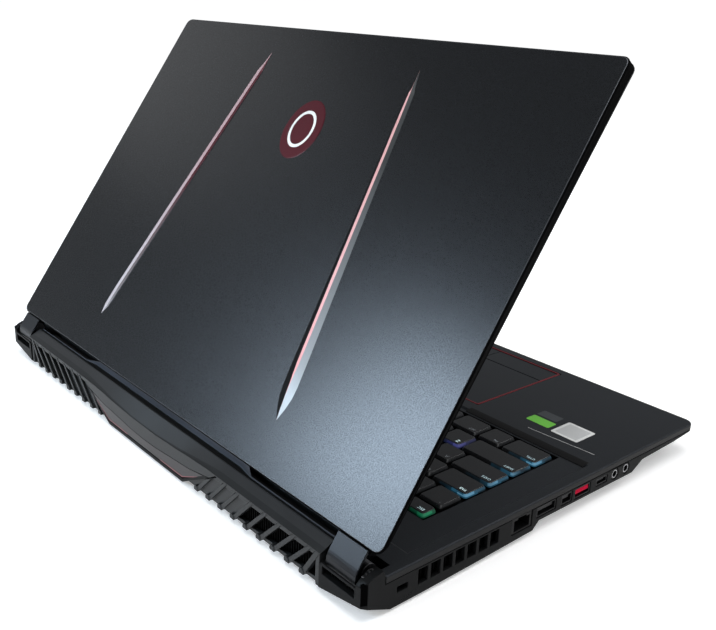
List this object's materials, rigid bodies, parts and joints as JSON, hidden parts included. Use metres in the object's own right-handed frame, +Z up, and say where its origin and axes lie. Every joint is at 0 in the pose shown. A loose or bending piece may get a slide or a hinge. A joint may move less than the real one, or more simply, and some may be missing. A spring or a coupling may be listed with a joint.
{
  "type": "laptop computer",
  "caption": "Gaming laptop, lid half open on friction hinges, lit keyboard, touchpad with separate buttons, side sockets, slatted rear air outlets and rubber feet.",
  "frame": {"origin": "on the table at the centre of the base footprint, at the height of the feet soles", "axes": "+X to the user's right, +Y to the rear of the laptop, +Z up; the lid is stored 55.7 degrees open"},
  "size_m": [0.397, 0.2686, 0.2375],
  "materials": {
    "lid_metal": "satin",
    "trim_red": "satin",
    "base_black": "matte",
    "inner_black": "satin",
    "screen_glass": "gloss",
    "key_black": "matte",
    "steel": "satin",
    "red_plastic": "satin",
    "copper": "satin",
    "circuit_board": "satin",
    "battery_wrap": "matte",
    "rubber": "matte"
  },
  "bodies": {
    "base": {"rear_centre_trim": "trim_red", "touchpad_trim": "trim_red", "bottom_cover": "base_black", "palmrest_cover": "base_black", "rear_deck": "base_black", "rear_grille_left": "base_black", "rear_grille_right": "base_black", "touchpad": "base_black", "keyboard_plate": "inner_black", "fan_housing_left": "inner_black", "fan_housing_right": "inner_black", "speaker_left": "inner_black", "speaker_right": "inner_black", "ethernet_socket": "inner_black", "dc_inlet_socket": "inner_black", "card_reader_socket": "inner_black", "hinge_base_left": "steel", "hinge_base_right": "steel", "hdmi_socket": "steel", "mini_display_socket": "steel", "usb_c_socket": "steel", "microphone_jack": "steel", "headphone_jack": "steel", "usb_a_socket_right_1": "steel", "usb_a_socket_right_2": "steel", "usb_a_socket_left": "red_plastic", "heat_pipe_assembly": "copper", "motherboard": "circuit_board", "ssd": "circuit_board", "memory_module": "circuit_board", "battery": "battery_wrap", "foot_rear_left": "rubber", "foot_rear_right": "rubber", "foot_front_left": "rubber", "foot_front_right": "rubber"},
    "lid": {"lid_back_cover": "lid_metal", "lid_ridge_left": "trim_red", "lid_ridge_right": "trim_red", "lid_badge": "trim_red", "screen_bezel": "inner_black", "lcd_panel": "screen_glass", "webcam_module": "inner_black", "hinge_cover_left": "lid_metal", "hinge_cover_right": "lid_metal", "hinge_arm_left": "steel", "hinge_arm_right": "steel"},
    "key_row_function_body": {"key_row_function": "key_black"},
    "key_row_numbers_body": {"key_row_numbers": "key_black"},
    "key_row_tab_body": {"key_row_tab": "key_black"},
    "key_row_caps_body": {"key_row_caps": "key_black"},
    "key_row_shift_body": {"key_row_shift": "key_black"},
    "key_row_bottom_left_body": {"key_row_bottom_left": "key_black"},
    "space_bar_body": {"space_bar": "key_black"},
    "key_row_bottom_right_body": {"key_row_bottom_right": "key_black"},
    "number_pad_body": {"number_pad": "key_black"},
    "touch_button_left_body": {"touch_button_left": "base_black"},
    "touch_button_right_body": {"touch_button_right": "base_black"},
    "power_button_body": {"power_button": "inner_black"},
    "fan_rotor_left_body": {"fan_rotor_left": "inner_black"},
    "fan_rotor_right_body": {"fan_rotor_right": "inner_black"}
  },
  "joints": [
    {"name": "lid_hinge", "type": "hinge", "parent": "base", "child": "lid", "pos_m": [0, 0.1235, 0.0183], "axis": [-1, 0, 0], "range_deg": [-55.7, 54.3]},
    {"name": "key_row_function_press", "type": "slide", "parent": "base", "child": "key_row_function_body", "axis": [0, 0, -1], "range_m": [0, 0.0012], "stiffness_N_per_m": 1000, "springref_m": -0.001},
    {"name": "key_row_numbers_press", "type": "slide", "parent": "base", "child": "key_row_numbers_body", "axis": [0, 0, -1], "range_m": [0, 0.0012], "stiffness_N_per_m": 1000, "springref_m": -0.001},
    {"name": "key_row_tab_press", "type": "slide", "parent": "base", "child": "key_row_tab_body", "axis": [0, 0, -1], "range_m": [0, 0.0012], "stiffness_N_per_m": 1000, "springref_m": -0.001},
    {"name": "key_row_caps_press", "type": "slide", "parent": "base", "child": "key_row_caps_body", "axis": [0, 0, -1], "range_m": [0, 0.0012], "stiffness_N_per_m": 1000, "springref_m": -0.001},
    {"name": "key_row_shift_press", "type": "slide", "parent": "base", "child": "key_row_shift_body", "axis": [0, 0, -1], "range_m": [0, 0.0012], "stiffness_N_per_m": 1000, "springref_m": -0.001},
    {"name": "key_row_bottom_left_press", "type": "slide", "parent": "base", "child": "key_row_bottom_left_body", "axis": [0, 0, -1], "range_m": [0, 0.0012], "stiffness_N_per_m": 1000, "springref_m": -0.001},
    {"name": "space_bar_press", "type": "slide", "parent": "base", "child": "space_bar_body", "axis": [0, 0, -1], "range_m": [0, 0.0012], "stiffness_N_per_m": 1000, "springref_m": -0.001},
    {"name": "key_row_bottom_right_press", "type": "slide", "parent": "base", "child": "key_row_bottom_right_body", "axis": [0, 0, -1], "range_m": [0, 0.0012], "stiffness_N_per_m": 1000, "springref_m": -0.001},
    {"name": "number_pad_press", "type": "slide", "parent": "base", "child": "number_pad_body", "axis": [0, 0, -1], "range_m": [0, 0.0012], "stiffness_N_per_m": 1000, "springref_m": -0.001},
    {"name": "touch_button_left_press", "type": "slide", "parent": "base", "child": "touch_button_left_body", "axis": [0, 0, -1], "range_m": [0, 0.0005], "stiffness_N_per_m": 2000, "springref_m": -0.0005},
    {"name": "touch_button_right_press", "type": "slide", "parent": "base", "child": "touch_button_right_body", "axis": [0, 0, -1], "range_m": [0, 0.0005], "stiffness_N_per_m": 2000, "springref_m": -0.0005},
    {"name": "power_button_press", "type": "slide", "parent": "base", "child": "power_button_body", "axis": [0, 0, -1], "range_m": [0, 0.0005], "stiffness_N_per_m": 2000, "springref_m": -0.0005},
    {"name": "fan_left_spin", "type": "hinge", "parent": "base", "child": "fan_rotor_left_body", "pos_m": [-0.121, 0.069, 0.009], "axis": [0, 0, 1], "continuous": true},
    {"name": "fan_right_spin", "type": "hinge", "parent": "base", "child": "fan_rotor_right_body", "pos_m": [0.121, 0.069, 0.009], "axis": [0, 0, 1], "continuous": true}
  ]
}
